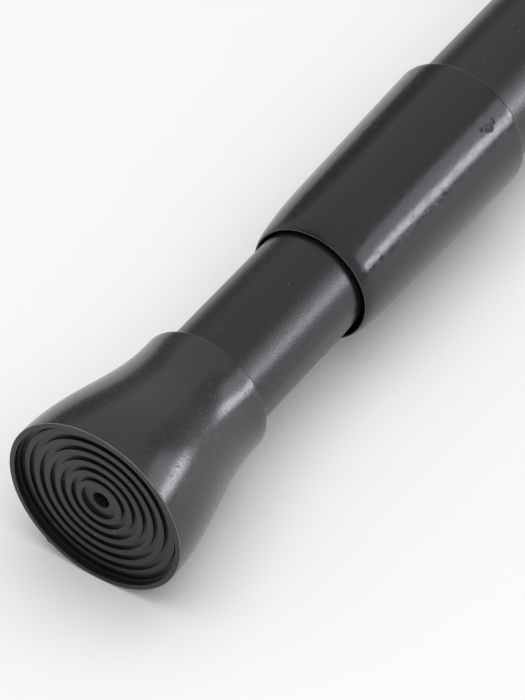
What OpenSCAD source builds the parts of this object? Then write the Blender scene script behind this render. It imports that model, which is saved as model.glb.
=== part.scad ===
// Twist-lock cargo bar for a truck bed: two telescoping steel tubes with a flared rubber foot
// on each end. The bar lies along X. The origin is the centre of the fixed foot's face, and
// the inner tube slides out towards +X. Turning the inner tube first jams an eccentric shoe
// in the outer tube, then drives a lead screw out of a sprung nut, which pushes the feet
// against the two walls of the bed.

/* [Tubes] */
// Outside diameter of the outer tube
outer_od = 32; // [31:0.5:40]
// Length of the outer tube
outer_len = 924; // [600:1:1200]
// Outside diameter of the inner tube
inner_od = 28; // [27:0.5:28]
// Wall of both tubes
tube_wall = 1.2; // [1:0.1:1.4]
// Inner tube left showing between the collar and the sliding foot
exposed_len = 42.7; // [40:0.1:120]
// Gap left between the collar and the sliding foot when the bar is pushed right in
foot_room = 2.7; // [1:0.1:10]

/* [Feet] */
// Diameter of a foot's face
face_d = 45.6; // [44:0.1:60]
// Length of a foot
foot_len = 42.8; // [38:0.1:60]
// Rubber around the tube at a foot's socket end
foot_wall = 2.8; // [2:0.1:4]
// Depth of the ringed field below the rim
dish_depth = 1.8; // [1:0.1:2]
// Depth of the grooves below the ringed field
groove_depth = 0.85; // [0.4:0.05:1.2]
// Width of a raised ring
ring_w = 1.45; // [1:0.05:1.8]
// Number of raised rings inside the rim
ring_count = 6; // [3:1:6]
// Diameter of the vent hole in the middle of a face
vent_d = 4.2; // [2:0.1:6]

/* [Collar] */
// Length of the grip collar
collar_len = 67; // [50:1:110]
// How far the collar reaches past the outer tube's mouth
collar_overhang = 22; // [12:1:30]
// Collar wall at its far end
collar_wall = 2.45; // [2:0.05:4]
// Gap between the inner tube and the collar's lip
lip_gap = 1.25; // [0.6:0.05:1.4]

/* [Twist lock] */
// Outside diameter of the lead screw's thread
screw_d = 10; // [8:0.5:10.5]
// Pitch of the lead screw
pitch = 3; // [2:0.5:4]
// How far the screw can drive the tubes apart
screw_travel = 70; // [40:1:72]
// Length of the spring behind the nut
spring_len = 32; // [24:1:36]
// Travel of the sprung nut
spring_travel = 10; // [4:1:10]
// Wire diameter of the spring
wire_d = 1.6; // [1.2:0.1:2]
// Offset of the eccentric journal under the locking shoe
shoe_offset = 1; // [0.6:0.1:1.2]

/* [Hidden] */
$fn = 96;

// Clearances
seat_gap = 0.02; // pressed or stretched over, each side
run_gap = 0.1;   // turning or sliding, each side
side_gap = 0.2;  // end play of a turning piece
tiny = 0.01;

// Tubes
outer_r = outer_od / 2;
outer_bore = outer_r - tube_wall;
inner_r = inner_od / 2;
inner_bore = inner_r - tube_wall;

// Plugs that close the tube ends inside the feet
plug_flange = 2;
plug_floor = 1;
plug_depth = 12;
plug_wall = 2.5;
foot_floor = 7;                        // face to the bottom of the socket
tube_end = foot_floor + plug_flange;   // face to the end of the tube

// Stations along the bar
outer_x0 = tube_end;
mouth_x = outer_x0 + outer_len;
lip_x = mouth_x + collar_overhang;
cap_x = lip_x + exposed_len;
bar_len = cap_x + foot_len;
inner_x1 = bar_len - tube_end;

// Foot
face_r = face_d / 2;
rim_edge = 0.45;                       // rounding of the rim's outer corner
rim_w = 1.35;
ledge_w = 0.32;                        // step on the rim's inner wall
vent_r = vent_d / 2;
ring_r0 = vent_r + 2.5;                // inside of the first ring
ring_pitch = (face_r - rim_w - ring_r0) / ring_count;
flare_x0 = 1;
flare_x1 = foot_len - 2.8;
flare_steps = 20;
cap_edge = 0.8;

// Collar
collar_swell = 1.6;                    // growth in radius from lip to far end
neck_in = 0.7;                         // extra draw-in at the lip
neck_span = 5;
lip_r = inner_r + lip_gap;
collar_r = outer_r + collar_wall;
collar_steps = 24;

// Bush in the outer tube's mouth
bush_len = 25;
bush_flange = 2;

// Lead screw, from its end in the fixed side's half of the tube
screw_r = screw_d / 2;
screw_root = screw_r - 0.3 * pitch;
screw_clear = screw_r + 0.3;
stop_neck = screw_r - 1.2;
stop_t = 1.5;
clip_t = 1.2;
clip_groove = 0.8;                     // depth of a clip's groove
end_room = 3;
close_travel = exposed_len - spring_travel - foot_room;   // push-in left as drawn
screw_x0 = outer_x0 + plug_depth + close_travel + spring_travel + end_room;
stop_x = screw_x0 + 2 + clip_t + stop_t;

// Lock cage, from its nose up to its mouth
nose_x0 = stop_x + screw_travel + 2;
nose_len = 5;
nose_r = screw_clear + 1.7;
nose_clip_x = nose_x0 + 1.3;
nose_x1 = nose_x0 + nose_len;
journal_len = 13;
journal_r = nose_r + 2;
journal_x1 = nose_x1 + journal_len;
end_wall = 10;
bore_x0 = journal_x1 + end_wall;
washer_t = 1;
nut_x0 = bore_x0 + spring_len + washer_t;
nut_flange = 5;
nut_nose_len = 6;
nut_nose_r = screw_r + 2;
nut_x1 = nut_x0 + nut_flange;
clip_set = 1.5;                        // cage left in front of the nut's clip
cage_x1 = nut_x1 + 2 * run_gap + clip_t + clip_set;
cage_r = outer_bore - 1.8;
cage_bore = cage_r - 2.5;
key_w = 4;
key_r = cage_r - 0.2;
drag_x = (bore_x0 + journal_x1) / 2;
drag_wire = 1.5;
drag_r = outer_bore - 0.05 - drag_wire;
shoe_r = outer_bore - 0.3;

// Guide plug in the inner tube, with the groove for the glide ring
cage_gap = spring_travel + 4;
guide_lip = 3;
ring_groove = 8.4;
ring_groove_r = inner_bore - 1.3;
guide_len = 28;
guide_x0 = cage_x1 + cage_gap;
inner_x0 = guide_x0 + guide_lip + ring_groove + guide_lip;
pin_x = inner_x0 + guide_len / 2;
pin_r = 1.5;
thread_x1 = guide_x0 - 2;
screw_x1 = inner_x0 + guide_len - 4;

// Lays a shape drawn along Z onto the X axis, starting at x
module along_bar(x) {
    translate([x, 0, 0]) rotate([0, 90, 0]) children();
}

// Solid rod on the bar's axis
module rod(x0, x1, r) {
    along_bar(x0) cylinder(h = x1 - x0, r = r);
}

// Ring or tube on the bar's axis
module pipe(x0, x1, r_out, r_in) {
    difference() {
        rod(x0, x1, r_out);
        rod(x0 - 1, x1 + 1, r_in);
    }
}

// Ring with a slot cut through one side
module split_ring(x0, x1, r_out, r_in, slot, turn) {
    difference() {
        pipe(x0, x1, r_out, r_in);
        rotate([turn, 0, 0]) translate([x0 - 1, -slot / 2, 0])
            cube([x1 - x0 + 2, slot, r_out + 1]);
    }
}

// ---- Outer side -------------------------------------------------------------------------

module outer_tube() {
    color("#3a3a3c") pipe(outer_x0, mouth_x, outer_r, outer_bore);
}

// Radius of the collar's outside, u millimetres in from its lip
function collar_out(u) =
    collar_r - collar_swell * (1 - u / collar_len) - neck_in * exp(-u / neck_span);

// Soft grip collar over the mouth, with a lip rolled in towards the inner tube
module grip_collar() {
    lip_round = (collar_out(0) - lip_r) / 2;
    neck_end = collar_overhang - bush_flange - 0.5;
    // u runs back from the lip, so the outline is drawn mirrored and then placed
    outside = [for (i = [1:collar_steps])
        let (u = lip_round + (collar_len - lip_round) * i / collar_steps) [collar_out(u), u]];
    lip = [for (a = [180:15:360])
        [lip_r + lip_round + lip_round * cos(a), lip_round + lip_round * sin(a)]];
    color("#454548") translate([lip_x, 0, 0]) rotate([0, -90, 0])
        rotate_extrude() polygon(concat(lip, outside, [
            [outer_r + seat_gap, collar_len],
            [outer_r + seat_gap, neck_end],
            [lip_r, neck_end],
        ]));
}

// Flanged liner that centres the inner tube in the outer tube's mouth
module mouth_bush() {
    color("#202020") {
        difference() {
            union() {
                rod(mouth_x - bush_len, mouth_x, outer_bore - seat_gap);
                rod(mouth_x, mouth_x + bush_flange, outer_r - seat_gap);
            }
            rod(mouth_x - bush_len - 1, mouth_x + bush_flange + 1, inner_r + run_gap);
        }
    }
}

// Cup-shaped plug with a flange, drawn with its flange face at z = 0
module end_plug(flange_r, body_r) {
    color("#1c1c1c") difference() {
        union() {
            cylinder(h = plug_flange, r = flange_r);
            cylinder(h = plug_flange + plug_depth, r = body_r);
        }
        translate([0, 0, plug_flange + plug_floor])
            cylinder(h = plug_depth, r = body_r - plug_wall);
        translate([0, 0, -1]) cylinder(h = plug_flange + 3, r = vent_r);
    }
}

// Outside of a foot, z millimetres in from its face: an eased flare down to the socket
function flare(z, cap_r) =
    cap_r + (face_r - cap_r) * (1 + cos(180 * (z - flare_x0) / (flare_x1 - flare_x0))) / 2;

// Moulded rubber foot, drawn with its face at z = 0 and its socket opening towards +Z
module foot(tube_r) {
    cap_r = tube_r + foot_wall;
    socket_r = tube_r + seat_gap;
    floor_z = dish_depth + groove_depth;
    rim_r = face_r - rim_w;
    rings = [for (k = [0:ring_count - 1])
        let (r = ring_r0 + k * ring_pitch)
        each [[r, floor_z], [r, dish_depth], [r + ring_w, dish_depth], [r + ring_w, floor_z]]];
    rim = [for (a = [-90:15:0])
        [face_r - rim_edge + rim_edge * cos(a), rim_edge + rim_edge * sin(a)]];
    side = [for (i = [0:flare_steps])
        let (z = flare_x0 + (flare_x1 - flare_x0) * i / flare_steps) [flare(z, cap_r), z]];
    cap = [for (a = [0:15:90])
        [cap_r - cap_edge + cap_edge * cos(a), foot_len - cap_edge + cap_edge * sin(a)]];
    color("#3c3c3e") rotate_extrude() polygon(concat(
        [[vent_r, floor_z]], rings,
        [[rim_r - ledge_w, floor_z], [rim_r - ledge_w, dish_depth - 0.3]],
        [[rim_r, dish_depth - 0.3], [rim_r, 0]],
        rim, side, cap,
        [[socket_r, foot_len], [socket_r, foot_floor], [vent_r, foot_floor]]
    ));
}

module fixed_plug() {
    along_bar(foot_floor) end_plug(outer_r - seat_gap, outer_bore - seat_gap);
}

module fixed_foot() {
    along_bar(0) foot(outer_r);
}

// ---- Lock cage, which grips the outer tube ----------------------------------------------

module lock_cage() {
    color("#4a4d52") difference() {
        union() {
            rod(journal_x1, cage_x1, cage_r);
            translate([0, 0, shoe_offset]) rod(nose_x1, journal_x1 + tiny, journal_r);
            rod(nose_x0, nose_x1 + tiny, nose_r);
        }
        rod(bore_x0, cage_x1 + 1, cage_bore);
        rod(nose_x0 - 1, cage_x1, screw_clear);
        pipe(drag_x - drag_wire - run_gap, drag_x + drag_wire + run_gap,
            cage_r + 1, drag_r - drag_wire);
        rod(cage_x1 - clip_set - clip_t - run_gap, cage_x1 - clip_set + run_gap,
            cage_bore + clip_groove);
        pipe(nose_clip_x, nose_clip_x + clip_t + run_gap, nose_r + 1, nose_r - clip_groove);
        translate([nut_x0 - spring_travel - 2, -key_w / 2 - run_gap, -cage_r - 1])
            cube([cage_x1 - nut_x0 + spring_travel + 3, key_w + 2 * run_gap, 2 * cage_r + 2]);
    }
}

// Rubber ring that drags on the outer tube, so the cage stays put while the screw turns
module drag_ring() {
    color("#151515") along_bar(drag_x) rotate_extrude()
        translate([drag_r, 0]) circle(r = drag_wire, $fn = 32);
}

// Eccentric shoe: turning it on its journal moves it out against the tube
module lock_shoe() {
    color("#8a6a3a") difference() {
        rod(nose_x1 + side_gap, journal_x1 - side_gap, shoe_r);
        translate([0, 0, shoe_offset]) rod(nose_x1 - 1, journal_x1 + 1, journal_r + 0.06);
        for (i = [1:3])
            pipe(nose_x1 + i * journal_len / 4 - 0.6, nose_x1 + i * journal_len / 4 + 0.6,
                outer_bore, shoe_r - 0.5);
    }
}

module shoe_washer() {
    color("#9a9ca0")
        pipe(nose_x1 - stop_t - tiny, nose_x1 - tiny, cage_r - 0.5, nose_r + run_gap / 2);
}

module shoe_clip() {
    clip_x = nose_clip_x + run_gap / 2;
    color("#8c8e92") split_ring(clip_x, clip_x + clip_t,
        nose_r + 1.6, nose_r - clip_groove + seat_gap, 6, 90);
}

// ---- Sprung nut -------------------------------------------------------------------------

wire_r = wire_d / 2;
coil_r = (nut_nose_r + cage_bore) / 2 - 0.35;
coil_turns = 6.5;
coil_steps = 16;   // to a turn
wire_sides = 8;

// Height of the wire's centre: the end turns lie closed, the others open evenly
function coil_z(turn) =
    let (free = spring_len - 2 * wire_r - 2 * wire_d,
         t = min(max((turn - 1) / (coil_turns - 2), 0), 1))
    wire_r + wire_d * min(turn, 1) + free * t + wire_d * max(turn - coil_turns + 1, 0);

module spring() {
    stations = floor(coil_turns * coil_steps);
    points = [for (i = [0:stations], j = [0:wire_sides - 1])
        let (turn = i / coil_steps, a = 360 * turn, b = 360 * j / wire_sides,
             r = coil_r + wire_r * cos(b))
        [r * cos(a), r * sin(a), coil_z(turn) + wire_r * sin(b)]];
    walls = [for (i = [0:stations - 1], j = [0:wire_sides - 1])
        let (a = i * wire_sides + j, b = i * wire_sides + (j + 1) % wire_sides)
        [a, b, b + wire_sides, a + wire_sides]];
    ends = [[for (j = [wire_sides - 1:-1:0]) j],
            [for (j = [0:wire_sides - 1]) stations * wire_sides + j]];
    color("#a0a3a8") along_bar(bore_x0) polyhedron(points = points, faces = concat(walls, ends));
}

module spring_washer() {
    color("#9a9ca0") pipe(nut_x0 - washer_t, nut_x0 - tiny, cage_bore - 0.3, nut_nose_r + run_gap);
}

// Flanged nut, keyed in the cage so that it slides but can't turn
module lead_nut() {
    color("#c9a24a") difference() {
        union() {
            rod(nut_x0, nut_x1, cage_bore - run_gap);
            rod(nut_x0 - nut_nose_len, nut_x0 + tiny, nut_nose_r);
            translate([nut_x0, -key_w / 2, -key_r]) cube([nut_flange, key_w, 2 * key_r]);
        }
        rod(nut_x0 - nut_nose_len - 1, nut_x1 + 1, screw_r + run_gap / 2);
    }
}

module nut_clip() {
    color("#8c8e92") split_ring(cage_x1 - clip_set - clip_t, cage_x1 - clip_set,
        cage_bore + clip_groove - seat_gap, cage_bore - 2, 5, 90);
}

// ---- Inner side -------------------------------------------------------------------------

// Split nylon ring that carries the inner tube's end in the outer tube
module glide_ring() {
    color("#d8d5cc") split_ring(guide_x0 + guide_lip + side_gap, inner_x0 - guide_lip - side_gap,
        outer_bore - run_gap, ring_groove_r + run_gap, 2, 0);
}

module pin_hole() {
    translate([pin_x, 0, 0]) rotate([90, 0, 0])
        cylinder(h = inner_od + 2, r = pin_r + seat_gap, center = true, $fn = 32);
}

module guide_plug() {
    color("#26282b") difference() {
        union() {
            rod(guide_x0, guide_x0 + guide_lip, inner_r);
            rod(guide_x0 + 1, inner_x0 - 1, ring_groove_r);
            rod(inner_x0 - guide_lip, inner_x0, inner_r);
            rod(inner_x0 - 1, inner_x0 + guide_len, inner_bore - seat_gap);
        }
        rod(guide_x0 - 1, inner_x0 + guide_len + 1, screw_r + seat_gap);
        pin_hole();
    }
}

// Lead screw: plain in the guide plug, threaded through the nut, necked for its stop
module lead_screw() {
    thread_len = thread_x1 - stop_x;
    turns = floor(thread_len / pitch);
    thread = [for (i = [0:turns - 1])
        each [[screw_r, i * pitch], [screw_r, (i + 0.3) * pitch], [screw_root, (i + 0.65) * pitch]]];
    color("#b4b6ba") difference() {
        union() {
            rod(screw_x0, stop_x + tiny, stop_neck);
            along_bar(stop_x) rotate_extrude()
                polygon(concat([[0, 0]], thread, [[screw_r, turns * pitch], [0, turns * pitch]]));
            rod(stop_x + turns * pitch - tiny, screw_x1, screw_r);
        }
        pipe(stop_x - stop_t - clip_t - run_gap, stop_x - stop_t - tiny, screw_r, stop_neck - clip_groove);
        pin_hole();
    }
}

// Spring pin through the tube, the guide plug and the screw
module screw_pin() {
    color("#7e8084") translate([pin_x, 0, 0]) rotate([90, 0, 0]) difference() {
        cylinder(h = inner_od - 0.6, r = pin_r, center = true, $fn = 32);
        cylinder(h = inner_od, r = pin_r - 0.6, center = true, $fn = 32);
        translate([0, -0.25, -inner_r]) cube([pin_r + 1, 0.5, inner_od]);
    }
}

module stop_washer() {
    color("#9a9ca0") pipe(stop_x - stop_t, stop_x - tiny, screw_r + 3, stop_neck + run_gap / 2);
}

module stop_clip() {
    clip_x = stop_x - stop_t - run_gap / 2;
    color("#8c8e92") split_ring(clip_x - clip_t, clip_x,
        stop_neck + 2, stop_neck - clip_groove + seat_gap, 3, 0);
}

module inner_tube() {
    color("#3a3a3c") difference() {
        pipe(inner_x0, inner_x1, inner_r, inner_bore);
        pin_hole();
    }
}

module sliding_plug() {
    translate([bar_len - foot_floor, 0, 0]) rotate([0, -90, 0])
        end_plug(inner_r - seat_gap, inner_bore - seat_gap);
}

module sliding_foot() {
    translate([bar_len, 0, 0]) rotate([0, -90, 0]) foot(inner_r);
}

outer_tube();
grip_collar();
mouth_bush();
fixed_plug();
fixed_foot();
lock_cage();
drag_ring();
lock_shoe();
shoe_washer();
shoe_clip();
spring();
spring_washer();
lead_nut();
nut_clip();
glide_ring();
guide_plug();
lead_screw();
screw_pin();
stop_washer();
stop_clip();
inner_tube();
sliding_plug();
sliding_foot();
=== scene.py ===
import math

import bmesh
import bpy
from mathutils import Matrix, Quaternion, Vector


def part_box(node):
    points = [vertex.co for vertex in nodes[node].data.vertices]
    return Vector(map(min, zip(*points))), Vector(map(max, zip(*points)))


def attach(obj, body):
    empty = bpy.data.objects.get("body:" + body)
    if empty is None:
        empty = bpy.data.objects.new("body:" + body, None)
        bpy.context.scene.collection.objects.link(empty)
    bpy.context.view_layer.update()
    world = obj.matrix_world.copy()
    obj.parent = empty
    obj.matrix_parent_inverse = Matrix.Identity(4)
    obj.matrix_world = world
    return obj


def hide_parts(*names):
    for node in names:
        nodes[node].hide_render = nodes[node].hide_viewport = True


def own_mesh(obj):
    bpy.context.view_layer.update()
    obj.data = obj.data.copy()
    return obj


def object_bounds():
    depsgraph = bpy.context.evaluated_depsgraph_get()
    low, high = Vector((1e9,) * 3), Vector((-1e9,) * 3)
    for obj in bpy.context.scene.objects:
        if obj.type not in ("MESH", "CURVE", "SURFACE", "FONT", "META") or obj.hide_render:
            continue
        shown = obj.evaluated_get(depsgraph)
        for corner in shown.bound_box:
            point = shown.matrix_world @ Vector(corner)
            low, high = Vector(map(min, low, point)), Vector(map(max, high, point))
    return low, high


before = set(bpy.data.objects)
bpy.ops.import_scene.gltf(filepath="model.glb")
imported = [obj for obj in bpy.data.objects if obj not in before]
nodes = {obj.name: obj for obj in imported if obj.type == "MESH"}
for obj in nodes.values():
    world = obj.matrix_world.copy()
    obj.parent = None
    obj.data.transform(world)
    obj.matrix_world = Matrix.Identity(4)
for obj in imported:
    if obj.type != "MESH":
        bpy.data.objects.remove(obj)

cad_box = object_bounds()
MM = 0.001

# ---- Camera ----------------------------------------------------------------------------------
# A long lens looks down on the sliding foot from its own end of the bar, so that the bar runs
# away up and to the right.

VIEW_AZIMUTH = math.radians(123.575)    # 0 looks along +Y, 90 along -X
VIEW_ELEVATION = math.radians(44.17)
foot_face = Vector((cad_box[1].x, 0, 0))


def direction(heading, elevation):
    """A unit vector from a heading, turned from +X towards +Y, and an elevation."""
    return Vector((math.cos(elevation) * math.cos(heading),
                   math.cos(elevation) * math.sin(heading), math.sin(elevation)))


camera = bpy.data.objects.new("camera", bpy.data.cameras.new("camera"))
bpy.context.scene.collection.objects.link(camera)
camera.data.lens = 174.9
camera.data.clip_start = 0.01
camera.location = foot_face + Vector((0.4010, 0.3101, 0.5389))
look = direction(VIEW_AZIMUTH + math.pi / 2, -VIEW_ELEVATION)
camera.rotation_euler = look.to_track_quat("-Z", "Y").to_euler()
bpy.context.scene.camera = camera
bpy.context.scene.view_settings.view_transform = "Standard"

# ---- Floor -----------------------------------------------------------------------------------
# A plain white sweep that the bar lies on. The class and the functions here make every
# material: a Wire is a socket, and arithmetic on it adds Math nodes.


class Wire:
    """A socket in a node tree."""

    def __init__(self, tree, socket=None):
        self.tree = tree
        self.socket = socket

    def node(self, kind, settings=None, inputs=None, out=0):
        """Makes a node, sets it up, feeds its sockets and gives one of its outputs."""
        made = self.tree.nodes.new(kind)
        for key, value in (settings or {}).items():
            if key == "stops":
                stops = made.color_ramp.elements
                while len(stops) < len(value):
                    stops.new(0.5)
                for stop, (place, shade) in zip(stops, value):
                    stop.position = place
                    stop.color = (shade, shade, shade, 1)
            else:
                setattr(made, key, value)
        for key, value in (inputs or {}).items():
            if isinstance(value, Wire):
                self.tree.links.new(value.socket, made.inputs[key])
            else:
                made.inputs[key].default_value = value
        return Wire(self.tree, made.outputs[out])

    def maths(self, operation, *values):
        return self.node("ShaderNodeMath", {"operation": operation}, dict(enumerate(values)))

    def __add__(self, other):
        return self.maths("ADD", self, other)

    def __radd__(self, other):
        return self.maths("ADD", other, self)

    def __sub__(self, other):
        return self.maths("SUBTRACT", self, other)

    def __rsub__(self, other):
        return self.maths("SUBTRACT", other, self)

    def __mul__(self, other):
        return self.maths("MULTIPLY", self, other)

    def __rmul__(self, other):
        return self.maths("MULTIPLY", other, self)


def material(name, look_of, **constants):
    """A Principled material: look_of(start) gives what varies, constants set other sockets."""
    made = bpy.data.materials.new(name)
    made.use_nodes = True
    tree = made.node_tree
    shader = next(n for n in tree.nodes if n.type == "BSDF_PRINCIPLED")
    for key, value in constants.items():
        shader.inputs[key.replace("_", " ")].default_value = value
    for key, value in look_of(Wire(tree)).items():
        tree.links.new(value.socket, shader.inputs[key])
    return made


def place_in_piece(start):
    """Where a point lies in its piece, in metres."""
    return start.node("ShaderNodeTexCoord", out="Object")


def stretch(start, at, scale):
    return start.node("ShaderNodeVectorMath", {"operation": "MULTIPLY"}, {0: at, 1: scale})


def noise(start, at, scale, detail=2.0, rough=0.5):
    """Cloudy noise from 0 to 1, with scale in features to the metre."""
    return start.node("ShaderNodeTexNoise", None,
                      {"Vector": at, "Scale": scale, "Detail": detail, "Roughness": rough})


def mix(start, factor, low, high):
    """A colour between low and high, either of which may be a Wire."""
    ends = [end if isinstance(end, Wire) else (*end, 1) for end in (low, high)]
    return start.node("ShaderNodeMix", {"data_type": "RGBA"},
                      {0: factor, 6: ends[0], 7: ends[1]}, out=2)


def ramp(start, factor, *stops):
    return start.node("ShaderNodeValToRGB", {"stops": stops}, {0: factor})


def bump(start, height, depth, under=None):
    """A bump whose full height is depth metres, on top of another bump if one is given."""
    inputs = {"Height": height, "Distance": depth, "Strength": 1.0}
    if under:
        inputs["Normal"] = under
    return start.node("ShaderNodeBump", None, inputs)


def floor_look(start):
    at = place_in_piece(start)
    cloud = noise(start, at, 3.0)
    return {"Base Color": mix(start, cloud, (0.742, 0.743, 0.752), (0.762, 0.763, 0.77)),
            "Roughness": 0.55 + cloud * 0.1}


FLOOR_REACH = 40.0
floor_mesh = bpy.data.meshes.new("floor")
floor_mesh.from_pydata([(x * FLOOR_REACH, y * FLOOR_REACH, cad_box[0].z)
                        for x, y in ((-1, -1), (1, -1), (1, 1), (-1, 1))], [], [(0, 1, 2, 3)])
floor = bpy.data.objects.new("floor", floor_mesh)
bpy.context.scene.collection.objects.link(floor)
floor.data.materials.append(material("white_sweep", floor_look, Specular_IOR_Level=0.3))

# ---- Lights ----------------------------------------------------------------------------------
# A pale room that is darker in one corner, on the wall beside the window and behind the camera.
# Four soft lights above light the floor. A low window to the right, whose lower part is the
# brighter, draws the long highlight.

room = bpy.data.worlds.new("room")
bpy.context.scene.world = room
room.use_nodes = True
air = Wire(room.node_tree)
outward = air.node("ShaderNodeTexCoord", out="Generated")


def towards(heading, elevation, *stops):
    """How far a look into the room points at one spot of it, through a ramp."""
    spot = direction(math.radians(heading), math.radians(elevation))
    return ramp(air, air.node("ShaderNodeVectorMath", {"operation": "DOT_PRODUCT"},
                              {0: outward, 1: spot}, out="Value"), *stops)


dark = air.maths("MAXIMUM", towards(320, 58, (0.80, 0), (0.93, 0.85)),
                 air.maths("MAXIMUM", towards(228, 5, (0.90, 0), (0.975, 1)),
                           towards(156, 30, (0.965, 0), (0.992, 0.7))))
backdrop = room.node_tree.nodes["Background"]
room.node_tree.links.new(
    mix(air, dark, (0.675, 0.675, 0.69), (0.165, 0.165, 0.168)).socket, backdrop.inputs["Color"])


SOFT_WHITE = (1.0, 1.0, 0.995)
WINDOW_ROLL = -8        # degrees


def panel(name, heading, elevation, distance, width, height, power, colour=SOFT_WHITE,
          roll=0, mirrored=False):
    """A rectangular light that faces the camera's end of the bar, turned by roll degrees.

    A mirrored one shows only in reflections. The others light surfaces and show in none.
    """
    lamp = bpy.data.lights.new(name, "AREA")
    lamp.shape = "RECTANGLE"
    lamp.size, lamp.size_y = width, height
    lamp.energy = power
    lamp.color = colour
    held = bpy.data.objects.new(name, lamp)
    bpy.context.scene.collection.objects.link(held)
    out = direction(math.radians(heading), math.radians(elevation))
    held.location = foot_face + out * distance
    facing = out.to_track_quat("Z", "Y") @ Quaternion((0, 0, 1), math.radians(roll))
    held.rotation_euler = facing.to_euler()
    held.visible_diffuse = not mirrored
    held.visible_glossy = mirrored


panel("window_low", 131, 11.5, 3.0, 1.6, 0.50, 27, (0.885, 0.885, 1.0),
      roll=WINDOW_ROLL, mirrored=True)
panel("window_high", 131, 25.8, 3.0, 1.6, 0.93, 9, (0.90, 0.895, 1.0),
      roll=WINDOW_ROLL, mirrored=True)
panel("soft_above", 205, 86, 2.8, 2.6, 2.6, 42)
panel("soft_behind", 60, 50, 3.2, 2.4, 1.6, 23)
panel("soft_right", 130, 60, 2.8, 2.0, 1.6, 9)
panel("soft_left", 330, 60, 2.8, 2.0, 1.6, 8)

# ---- Feet ------------------------------------------------------------------------------------
# Moulded black rubber, stretched over the end of each tube. The face is dished, with raised
# rings inside a prouder rim and a vent in the middle. Functions that turn a profile into a
# mesh are here too.

SEGMENTS = 256


def fillet(corners, steps=4):
    """Rounds the corners of a closed profile. Each corner is (along, radius, rounding)."""
    made = []
    for i, (u, r, rounding) in enumerate(corners):
        here = Vector((u, r))
        if not rounding:
            made.append(here)
            continue
        back = Vector(corners[i - 1][:2]) - here
        on = Vector(corners[(i + 1) % len(corners)][:2]) - here
        cut = min(rounding / math.tan(back.angle(on) / 2), back.length * 0.48, on.length * 0.48)
        a, b = here + back.normalized() * cut, here + on.normalized() * cut
        for k in range(steps + 1):
            t = k / steps
            made.append(a * (1 - t) ** 2 + here * 2 * t * (1 - t) + b * t ** 2)
    return made


def finish_mesh(name, work, sharp=32):
    """Makes an object of a bmesh, smooth except across edges sharper than that many degrees."""
    bmesh.ops.recalc_face_normals(work, faces=work.faces)
    for face in work.faces:
        face.smooth = True
    for edge in work.edges:
        edge.smooth = edge.calc_face_angle(0) < math.radians(sharp)
    mesh = bpy.data.meshes.new(name)
    work.to_mesh(mesh)
    work.free()
    made = bpy.data.objects.new(name, mesh)
    bpy.context.scene.collection.objects.link(made)
    return made


def turned(name, profile, segments=SEGMENTS, shape=None, solid=False):
    """A piece turned about the bar's axis from a profile of (x, radius) in metres.

    The profile is closed, or solid says that it runs from one flat end to the other.
    shape(x, radius, angle) may give a new x and radius, for what isn't round.
    """
    work = bmesh.new()
    rows = []
    for s in range(segments):
        angle = 2 * math.pi * s / segments
        row = []
        for x, r in profile:
            if shape:
                x, r = shape(x, r, angle)
            row.append(work.verts.new((x, r * math.cos(angle), r * math.sin(angle))))
        rows.append(row)
    count = len(profile)
    for s in range(segments):
        here, there = rows[s], rows[(s + 1) % segments]
        for i in range(count - 1 if solid else count):
            j = (i + 1) % count
            work.faces.new((here[i], here[j], there[j], there[i]))
    if solid:
        work.faces.new([row[0] for row in rows])
        work.faces.new([row[-1] for row in rows])
    return finish_mesh(name, work)


def stand_for(piece, node, body, finish):
    """Puts a detailed piece in a CAD node's place, on its body and in its finish."""
    piece.data.materials.append(finish)
    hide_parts(node)
    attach(piece, body)


SEAT_GAP = 0.02 * MM    # between a sleeve's bore and the tube in it
FOOT_WALL = 2.8 * MM
DISH = 1.8 * MM         # how far the rings' tops lie behind the rim
GROOVE = 0.85 * MM
RING = 1.45 * MM
RINGS = 6
VENT = 2.1 * MM
VENT_LAND = 2.5 * MM    # from the vent to the first ring
RIM = 1.35 * MM
RIM_EDGE = 0.14 * MM
LEDGE = 0.32 * MM       # width of the step inside the rim
LEDGE_DEPTH = 1.5 * MM
FOOT_FLOOR = 7 * MM     # from the rim to the socket's floor
FLARE_START = 1.0 * MM
FLARE_STEPS = 40
CAP_BAND = 2.8 * MM     # the straight band at the foot's open end
CRISP = 0.05 * MM       # rounding of a ring's edges
FACE_REACH = 3 * MM     # how deep behind the rim the blacker finish goes
NIB = 0.5 * MM          # stub of flash left on the rim
NIB_ANGLE = math.radians(-125.5)
NIB_SPREAD = 0.0005     # radians squared


def foot_profile(face_r, tube_r, length):
    """The foot's closed section as (depth behind the face, radius)."""
    floor_u = DISH + GROOVE
    cap_r = tube_r + FOOT_WALL
    socket_r = tube_r + SEAT_GAP
    first = VENT + VENT_LAND
    pitch = (face_r - RIM - first) / RINGS
    section = [(floor_u, VENT, 0.2 * MM)]
    for k in range(RINGS):
        r = first + k * pitch
        section += [(floor_u, r, CRISP), (DISH, r, CRISP),
                    (DISH, r + RING, CRISP), (floor_u, r + RING, CRISP)]
    rim_in = face_r - RIM
    section += [(floor_u, rim_in - LEDGE, CRISP), (LEDGE_DEPTH, rim_in - LEDGE, CRISP),
                (LEDGE_DEPTH, rim_in, CRISP), (0, rim_in, CRISP), (0, face_r, RIM_EDGE)]
    end = length - CAP_BAND
    for i in range(FLARE_STEPS + 1):
        t = i / FLARE_STEPS
        ease = (1 + math.cos(math.pi * t)) / 2
        section.append((FLARE_START + (end - FLARE_START) * t,
                        cap_r + (face_r - cap_r) * ease, 0))
    section += [(length, cap_r, 0.5 * MM), (length, socket_r, 0.2 * MM),
                (FOOT_FLOOR, socket_r, 0), (FOOT_FLOOR, VENT, 0)]
    return fillet(section)


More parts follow.
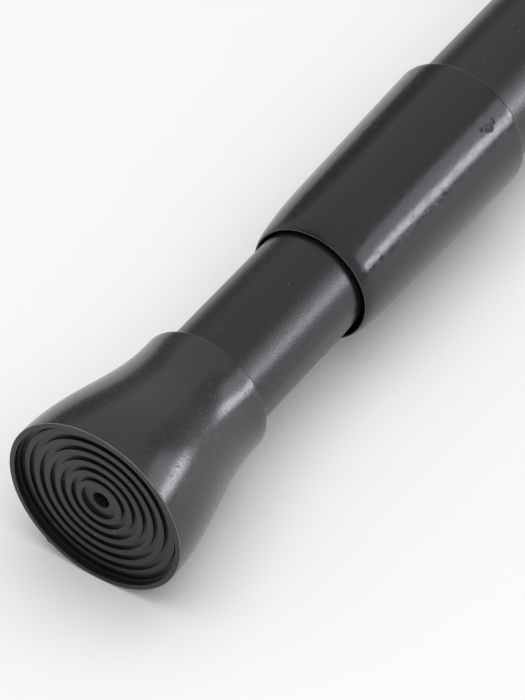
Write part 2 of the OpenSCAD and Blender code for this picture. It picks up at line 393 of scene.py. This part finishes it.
def rubber_look(start):
    at = place_in_piece(start)
    grain = noise(start, at, 2600, 3.0, 0.7)
    skin = noise(start, at, 330, 3.0)
    cloud = noise(start, at, 70, 3.0)
    pits = ramp(start, noise(start, at, 2400, 1.0), (0.28, 0), (0.40, 1))
    dust = ramp(start, noise(start, at, 2100, 0.0), (0.86, 0), (0.88, 1))
    shade = mix(start, cloud, (0.014, 0.014, 0.0145), (0.020, 0.020, 0.0205))
    return {"Base Color": mix(start, dust * 0.35, shade, (0.4, 0.4, 0.39)),
            "Roughness": 0.13 + cloud * 0.05 + grain * 0.07 + (1 - pits) * 0.3,
            "Normal": bump(start, skin * 0.8 + pits * 0.3 + grain * 0.35, 0.018 * MM)}


def ring_field_look(start):
    """The ringed field is smoother and blacker than the flare."""
    at = place_in_piece(start)
    skin = noise(start, at, 420, 2.0)
    cloud = noise(start, at, 110, 3.0)
    dust = ramp(start, noise(start, at, 1900, 0.0), (0.875, 0), (0.89, 1))
    shade = mix(start, cloud, (0.006, 0.006, 0.006), (0.009, 0.009, 0.009))
    return {"Base Color": mix(start, dust * 0.6, shade, (0.5, 0.5, 0.48)),
            "Roughness": 0.28 + cloud * 0.1,
            "Normal": bump(start, skin, 0.012 * MM)}


def painted_highlight_look(start):
    """A moulded edge painted paler, a painted highlight for the thin bright line along a corner.
    """
    at = place_in_piece(start)
    patchy = noise(start, at, 900, 3.0)
    return {"Base Color": mix(start, patchy, (0.05, 0.05, 0.05), (0.22, 0.22, 0.22)),
            "Roughness": 0.3 + patchy * 0.2}


foot_rubber = material("foot_rubber", rubber_look, Specular_IOR_Level=0.55)
ring_field = material("ring_field", ring_field_look, Specular_IOR_Level=0.42)
# The paler edge finish is a painted highlight: it stands in for the thin bright line where light
# catches the rim's and the lip's corners.
painted_highlight_edge = material("painted_highlight_edge", painted_highlight_look, Specular_IOR_Level=0.5)
feet = {
    "sliding_foot": ("inner_tube", "inner_side", -1),
    "fixed_foot": ("outer_tube", "outer_side", 1),
}
for node, (tube, body, into) in feet.items():
    low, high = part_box(node)
    face_x = high.x if into < 0 else low.x

    def with_nib(x, r, angle):
        """Raises the stub of flash where the mould's halves met at the rim."""
        off = (angle - NIB_ANGLE + math.pi) % (2 * math.pi) - math.pi
        near = math.exp(-off ** 2 / NIB_SPREAD)
        if abs(x - face_x) < 0.6 * MM and r > high.z - 0.5 * MM:
            r += NIB * near
        return x, r

    section = foot_profile(high.z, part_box(tube)[1].z, high.x - low.x)
    foot = turned(node + "_rubber", [(face_x + into * u, r) for u, r in section], shape=with_nib)
    stand_for(foot, node, body, foot_rubber)
    foot.data.materials.append(ring_field)
    foot.data.materials.append(painted_highlight_edge)
    for face in foot.data.polygons:
        depth = abs(face.center.x - face_x)
        r = math.hypot(face.center.y, face.center.z)
        if depth < FACE_REACH and r < high.z - RIM_EDGE:
            face.material_index = 1
        # The rim's rounded outer corner takes the paler finish, a painted highlight.
        elif depth < RIM_EDGE:
            face.material_index = 2

# ---- Tubes -----------------------------------------------------------------------------------
# Drawn steel tube with a satin black powder coat, cut square with the edges broken. A pin goes
# through the inner one near its hidden end.

TUBE_WALL = 1.2 * MM
TUBE_EDGE = 0.25 * MM
PIN_HOLE = 1.52 * MM


def paint_look(start):
    at = place_in_piece(start)
    grain = noise(start, at, 2300, 3.0, 0.75)
    peel = noise(start, at, 420, 2.0)
    cloud = noise(start, at, 30, 3.0)
    dust = ramp(start, noise(start, at, 2100, 0.0), (0.865, 0), (0.885, 1))
    shade = mix(start, cloud, (0.006, 0.006, 0.0063), (0.010, 0.010, 0.0103))
    return {"Base Color": mix(start, dust * 0.3, shade, (0.4, 0.4, 0.39)),
            "Roughness": 0.19 + cloud * 0.06 + grain * 0.12,
            "Normal": bump(start, grain * 1.1 + peel * 0.6, 0.033 * MM)}


tube_paint = material("tube_paint", paint_look, Specular_IOR_Level=0.56)


def bore_through(piece, x, radius):
    """Drills a round hole right across a piece, along Y."""
    work = bmesh.new()
    bmesh.ops.create_cone(work, cap_ends=True, segments=48, radius1=radius, radius2=radius,
                          depth=0.1)
    drill = finish_mesh("drill", work)
    drill.location = (x, 0, 0)
    drill.rotation_euler = (math.pi / 2, 0, 0)
    cut = piece.modifiers.new("hole", "BOOLEAN")
    cut.operation = "DIFFERENCE"
    cut.object = drill
    bpy.context.view_layer.update()
    done = bpy.data.meshes.new_from_object(
        piece.evaluated_get(bpy.context.evaluated_depsgraph_get()))
    piece.modifiers.clear()
    piece.data = done
    bpy.data.objects.remove(drill)


for node, body in (("inner_tube", "inner_side"), ("outer_tube", "outer_side")):
    low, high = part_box(node)
    outside, bore = high.z, high.z - TUBE_WALL
    section = fillet([(low.x, bore, TUBE_EDGE), (low.x, outside, TUBE_EDGE),
                      (high.x, outside, TUBE_EDGE), (high.x, bore, TUBE_EDGE)])
    tube = turned(node + "_steel", section)
    if node == "inner_tube":
        pin_low, pin_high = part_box("screw_pin")
        bore_through(tube, (pin_low.x + pin_high.x) / 2, PIN_HOLE)
    stand_for(tube, node, body, tube_paint)

# ---- Grip collar -----------------------------------------------------------------------------
# A soft PVC sleeve drawn tight over the outer tube's mouth. It swells towards its far end, and
# its lip is drawn in towards the inner tube, a little more on the upper side.

SWELL = 1.6 * MM        # how much the radius grows from the lip to the far end
NECK = 0.7 * MM         # gentle drawing in towards the lip
NECK_SPAN = 5 * MM
TURN_IN = 0.5 * MM      # sharp roll of the last few millimetres
TURN_IN_SPAN = 1.2 * MM
LIP_GAP = 1.25 * MM     # from the inner tube to the lip
LIP_EDGE = 0.09 * MM
FAR_EDGE = 0.3 * MM
OVERHANG = 22 * MM      # how far the collar reaches past the outer tube's mouth
MOUTH_ROOM = 2.5 * MM   # for the bush's flange and a little clearance
SLACK = 0.55 * MM       # how far the lip's upper side has closed on the inner tube
SLACK_SPAN = 10 * MM
SLACK_ANGLE = math.radians(150)
OUTSIDE_STEPS = 90
# Scuffed dents: place along the bar in metres, degrees round, and a size in millimetres.
DENTS = ((0.8966, 42.4, 0.6), (0.8976, 44.4, 0.65), (0.8948, 44.6, 0.5), (0.8992, 46.6, 0.4))
DENT_RADIUS = 0.0182

low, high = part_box("grip_collar")
collar_len = high.x - low.x
lip_x = high.x
tube_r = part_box("outer_tube")[1].z
lip_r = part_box("inner_tube")[1].z + LIP_GAP


def collar_look(start):
    at = place_in_piece(start)
    grain = noise(start, at, 1700, 3.0, 0.7)
    ripple = noise(start, stretch(start, at, (0.45, 1, 1)), 260, 3.0)
    wave = noise(start, stretch(start, at, (0.4, 1, 1)), 90, 2.0)
    cloud = noise(start, at, 40, 3.0)
    scuff = noise(start, at, 1500, 3.0, 0.6)
    crackle = noise(start, stretch(start, at, (0.5, 1, 1)), 1100, 3.0, 0.65)
    worn = None
    for x, angle, size in DENTS:
        turn = math.radians(angle)
        spot = (x, DENT_RADIUS * math.cos(turn), DENT_RADIUS * math.sin(turn))
        away = start.node("ShaderNodeVectorMath", {"operation": "DISTANCE"},
                          {0: at, 1: spot}, out="Value")
        ragged = away * (1 / (size * 2 * MM)) + scuff * 1.6 - 0.8
        mark = ramp(start, ragged, (0.0, 1), (0.9, 0))
        worn = mark if worn is None else start.maths("MAXIMUM", worn, mark)
    fine = bump(start, wave * 0.5 + ripple * 0.45 + crackle * 0.2 + grain * 0.08, 0.065 * MM)
    return {"Base Color": mix(start, cloud, (0.008, 0.008, 0.0085), (0.011, 0.011, 0.0115)),
            "Roughness": cloud * 0.06 + crackle * 0.5 - 0.12 + grain * 0.05 + worn * 0.2,
            "Normal": bump(start, 1 - worn, 0.25 * MM, under=fine)}


soft_grip = material("soft_grip", collar_look, Specular_IOR_Level=0.5)


def collar_radius(u):
    """Outside radius, u metres in from the lip."""
    return high.z - SWELL * (1 - u / collar_len) - NECK * math.exp(-u / NECK_SPAN) \
        - TURN_IN * math.exp(-u / TURN_IN_SPAN)


def slack_lip(x, r, angle):
    """Draws the lip in on one side."""
    u = lip_x - x
    if u < OVERHANG:
        side = (1 + math.cos(angle - SLACK_ANGLE)) / 2
        r -= SLACK * side ** 2 * math.exp(-(u / SLACK_SPAN) ** 2)
    return x, r


section = [(0, lip_r, LIP_EDGE), (0, collar_radius(0), LIP_EDGE)]
section += [(u, collar_radius(u), 0) for u in
            [0.4 * MM + (collar_len - 0.9 * MM) * (i / OUTSIDE_STEPS) ** 1.4
             for i in range(OUTSIDE_STEPS + 1)]]
shoulder = OVERHANG - MOUTH_ROOM
section += [(collar_len, collar_radius(collar_len) - 0.1 * MM, FAR_EDGE),
            (collar_len, tube_r + SEAT_GAP, 0), (shoulder, tube_r + SEAT_GAP, 0),
            (shoulder, lip_r, 0)]
section += [(u * MM, lip_r, 0) for u in (16, 12, 9, 7, 5, 3.5, 2, 1)]
collar = turned("grip_collar_sleeve", [(lip_x - u, r) for u, r in fillet(section)],
                shape=slack_lip)
stand_for(collar, "grip_collar", "outer_side", soft_grip)
# The paler edge finish here is a painted highlight along the lip's outer corner.
collar.data.materials.append(painted_highlight_edge)
for face in collar.data.polygons:
    x, y, z = face.center
    outward = (face.normal.y * y + face.normal.z * z) / math.hypot(y, z)
    # The lip's outer corner takes the paler finish, a painted highlight.
    if lip_x - x < LIP_EDGE and outward > 0.2:
        face.material_index = 1

# ---- Plugs and mouth bush ---------------------------------------------------------------------
# Injection-moulded black nylon: a cup in each tube's end under the foot, the liner in the outer
# tube's mouth, and the plug that carries the screw. They keep their CAD shape.


def nylon_look(dark_shade, light_shade):
    def look_of(start):
        at = place_in_piece(start)
        cloud = noise(start, at, 90, 3.0)
        grain = noise(start, at, 1500, 2.0)
        return {"Base Color": mix(start, cloud, dark_shade, light_shade),
                "Roughness": 0.38 + cloud * 0.12,
                "Normal": bump(start, grain + cloud, 0.02 * MM)}
    return look_of


def refinish(finish, *names):
    """Gives CAD nodes a better material in their slot."""
    for name in names:
        nodes[name].data.materials[0] = finish


refinish(material("nylon_black", nylon_look((0.012, 0.012, 0.013), (0.020, 0.020, 0.021))),
         "fixed_plug", "sliding_plug", "mouth_bush", "guide_plug")

# ---- Glide ring ------------------------------------------------------------------------------
# A split ring of natural nylon in the guide plug's groove. It carries the inner tube's hidden
# end in the outer tube.

refinish(material("nylon_natural", nylon_look((0.62, 0.59, 0.50), (0.70, 0.67, 0.58)),
                  Subsurface_Weight=0.1), "glide_ring")

# ---- Locking shoe ----------------------------------------------------------------------------
# A grooved acetal shoe on the cage's offset journal. Its outside is burnished where it has
# jammed against the tube.


def shoe_look(start):
    at = place_in_piece(start)
    cloud = noise(start, at, 120, 3.0)
    rubbed = noise(start, stretch(start, at, (0.1, 1, 1)), 700, 2.0)
    return {"Base Color": mix(start, cloud * 0.6 + rubbed * 0.4,
                              (0.20, 0.115, 0.035), (0.30, 0.18, 0.06)),
            "Roughness": 0.32 + rubbed * 0.2,
            "Normal": bump(start, rubbed, 0.02 * MM)}


refinish(material("shoe_plastic", shoe_look), "lock_shoe")

# ---- Lock cage and drag ring -------------------------------------------------------------------
# The cage is a zinc die casting. A rubber ring in its groove drags on the outer tube, so that
# the cage stays put while the screw turns.


def casting_look(start):
    at = place_in_piece(start)
    sand = noise(start, at, 900, 4.0, 0.6)
    cloud = noise(start, at, 60, 3.0)
    return {"Base Color": mix(start, cloud, (0.34, 0.35, 0.37), (0.46, 0.47, 0.49)),
            "Roughness": 0.42 + sand * 0.15,
            "Normal": bump(start, sand, 0.05 * MM)}


def ring_look(start):
    at = place_in_piece(start)
    cloud = noise(start, at, 300, 3.0)
    return {"Base Color": mix(start, cloud, (0.008, 0.008, 0.008), (0.016, 0.016, 0.016)),
            "Roughness": 0.5 + cloud * 0.15,
            "Normal": bump(start, cloud, 0.01 * MM)}


refinish(material("cast_zinc", casting_look, Metallic=1.0), "lock_cage")
refinish(material("ring_rubber", ring_look), "drag_ring")

# ---- Nut -------------------------------------------------------------------------------------
# Turned brass, keyed in the cage so that it slides but can't turn. The tool's fine marks run
# round it.


def brass_look(start):
    at = place_in_piece(start)
    marks = noise(start, stretch(start, at, (1, 0.05, 0.05)), 4000, 1.0)
    cloud = noise(start, at, 150, 3.0)
    return {"Base Color": mix(start, cloud, (0.56, 0.37, 0.12), (0.68, 0.47, 0.18)),
            "Roughness": 0.24 + marks * 0.15,
            "Normal": bump(start, marks, 0.01 * MM)}


refinish(material("nut_brass", brass_look, Metallic=1.0), "lead_nut")

# ---- Clips, pin and spring ---------------------------------------------------------------------
# Oil-blackened spring steel. The spring is wound from round wire with its end turns closed. In
# the bar it is squeezed against the cage's end wall when the nut backs into it; here it rides the
# carriage at one length.

WIRE = 0.8 * MM         # radius of the wire
TURNS = 6.5
STEPS_TO_TURN = 36
WIRE_SIDES = 14


def spring_steel_look(start):
    at = place_in_piece(start)
    cloud = noise(start, at, 200, 3.0)
    scale = noise(start, at, 1500, 3.0)
    return {"Base Color": mix(start, cloud, (0.16, 0.16, 0.17), (0.30, 0.30, 0.31)),
            "Roughness": 0.26 + scale * 0.18,
            "Normal": bump(start, scale, 0.01 * MM)}


spring_steel = material("spring_steel", spring_steel_look, Metallic=1.0)
refinish(spring_steel, "screw_pin", "stop_clip", "shoe_clip", "nut_clip")

low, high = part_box("spring")
coil_r = high.z - WIRE
free = (high.x - low.x) - 6 * WIRE
work = bmesh.new()
hoops = []
stations = round(TURNS * STEPS_TO_TURN)
for i in range(stations + 1):
    turn = i / STEPS_TO_TURN
    open_part = min(max((turn - 1) / (TURNS - 2), 0), 1)
    along = low.x + WIRE + 2 * WIRE * (min(turn, 1) + max(turn - TURNS + 1, 0)) \
        + free * open_part
    angle = math.radians(90) - 2 * math.pi * turn
    hoop = []
    for k in range(WIRE_SIDES):
        b = 2 * math.pi * k / WIRE_SIDES
        r = coil_r + WIRE * math.cos(b)
        hoop.append(work.verts.new((along + WIRE * math.sin(b), r * math.cos(angle),
                                    r * math.sin(angle))))
    hoops.append(hoop)
for here, there in zip(hoops, hoops[1:]):
    for k in range(WIRE_SIDES):
        n = (k + 1) % WIRE_SIDES
        work.faces.new((here[k], here[n], there[n], there[k]))
work.faces.new(hoops[0])
work.faces.new(hoops[-1])
spring = finish_mesh("spring_wire", work, sharp=50)
stand_for(spring, "spring", "lock_carriage", spring_steel)
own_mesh(spring)

# ---- Lead screw and washers --------------------------------------------------------------------
# Rolled steel with clear zinc plate: a helical thread through the nut, a neck for the stop and a
# plain end in the guide plug. The washers are plated the same.

PITCH = 3 * MM
THREAD_DEPTH = 0.9 * MM
STOP_NECK = 3.8 * MM    # radius of the neck that the stop washer sits on
CLIP_GROOVE = 0.8 * MM
CLIP_ROOM = 0.05 * MM
FACE_GAP = 0.02 * MM    # from the stop washer to the thread's shoulder
END_BREAK = 0.4 * MM    # chamfer at each end
PLAIN = 44 * MM         # unthreaded length at the guide plug's end
STEPS_TO_PITCH = 10
THREAD_SEGMENTS = 48


def plated_look(start):
    at = place_in_piece(start)
    cloud = noise(start, at, 80, 3.0)
    streak = noise(start, stretch(start, at, (1, 0.1, 0.1)), 2500, 2.0)
    return {"Base Color": mix(start, cloud, (0.50, 0.52, 0.56), (0.66, 0.67, 0.69)),
            "Roughness": 0.22 + streak * 0.14 + cloud * 0.06,
            "Normal": bump(start, streak, 0.008 * MM)}


zinc_steel = material("zinc_steel", plated_look, Metallic=1.0)
refinish(zinc_steel, "stop_washer", "shoe_washer", "spring_washer")

low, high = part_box("lead_screw")
crest = high.z
stop_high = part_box("stop_washer")[1]
clip_low, clip_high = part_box("stop_clip")
groove_from, groove_to = clip_low.x - CLIP_ROOM, clip_high.x + CLIP_ROOM
thread_start = stop_high.x + FACE_GAP
thread_end = high.x - PLAIN
section = [(low.x, STOP_NECK - END_BREAK), (low.x + END_BREAK, STOP_NECK),
           (groove_from, STOP_NECK), (groove_from, STOP_NECK - CLIP_GROOVE),
           (groove_to, STOP_NECK - CLIP_GROOVE), (groove_to, STOP_NECK),
           (thread_start, STOP_NECK)]
rows = round((thread_end - thread_start) / PITCH * STEPS_TO_PITCH)
section += [(thread_start + (thread_end - thread_start) * i / rows, crest)
            for i in range(rows + 1)]
section += [(high.x - END_BREAK, crest), (high.x, crest - END_BREAK)]


def threaded(x, r, angle):
    """Cuts the helical thread."""
    if thread_start < x < thread_end and r == crest:
        phase = ((x - thread_start) / PITCH - angle / (2 * math.pi)) % 1
        r -= THREAD_DEPTH * min(max(1 - abs(phase - 0.65) / 0.35 * 1.25, 0), 1)
    return x, r


screw = turned("lead_screw_steel", section, segments=THREAD_SEGMENTS, shape=threaded,
               solid=True)
pin_low, pin_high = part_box("screw_pin")
bore_through(screw, (pin_low.x + pin_high.x) / 2, PIN_HOLE)
stand_for(screw, "lead_screw", "inner_side", zinc_steel)
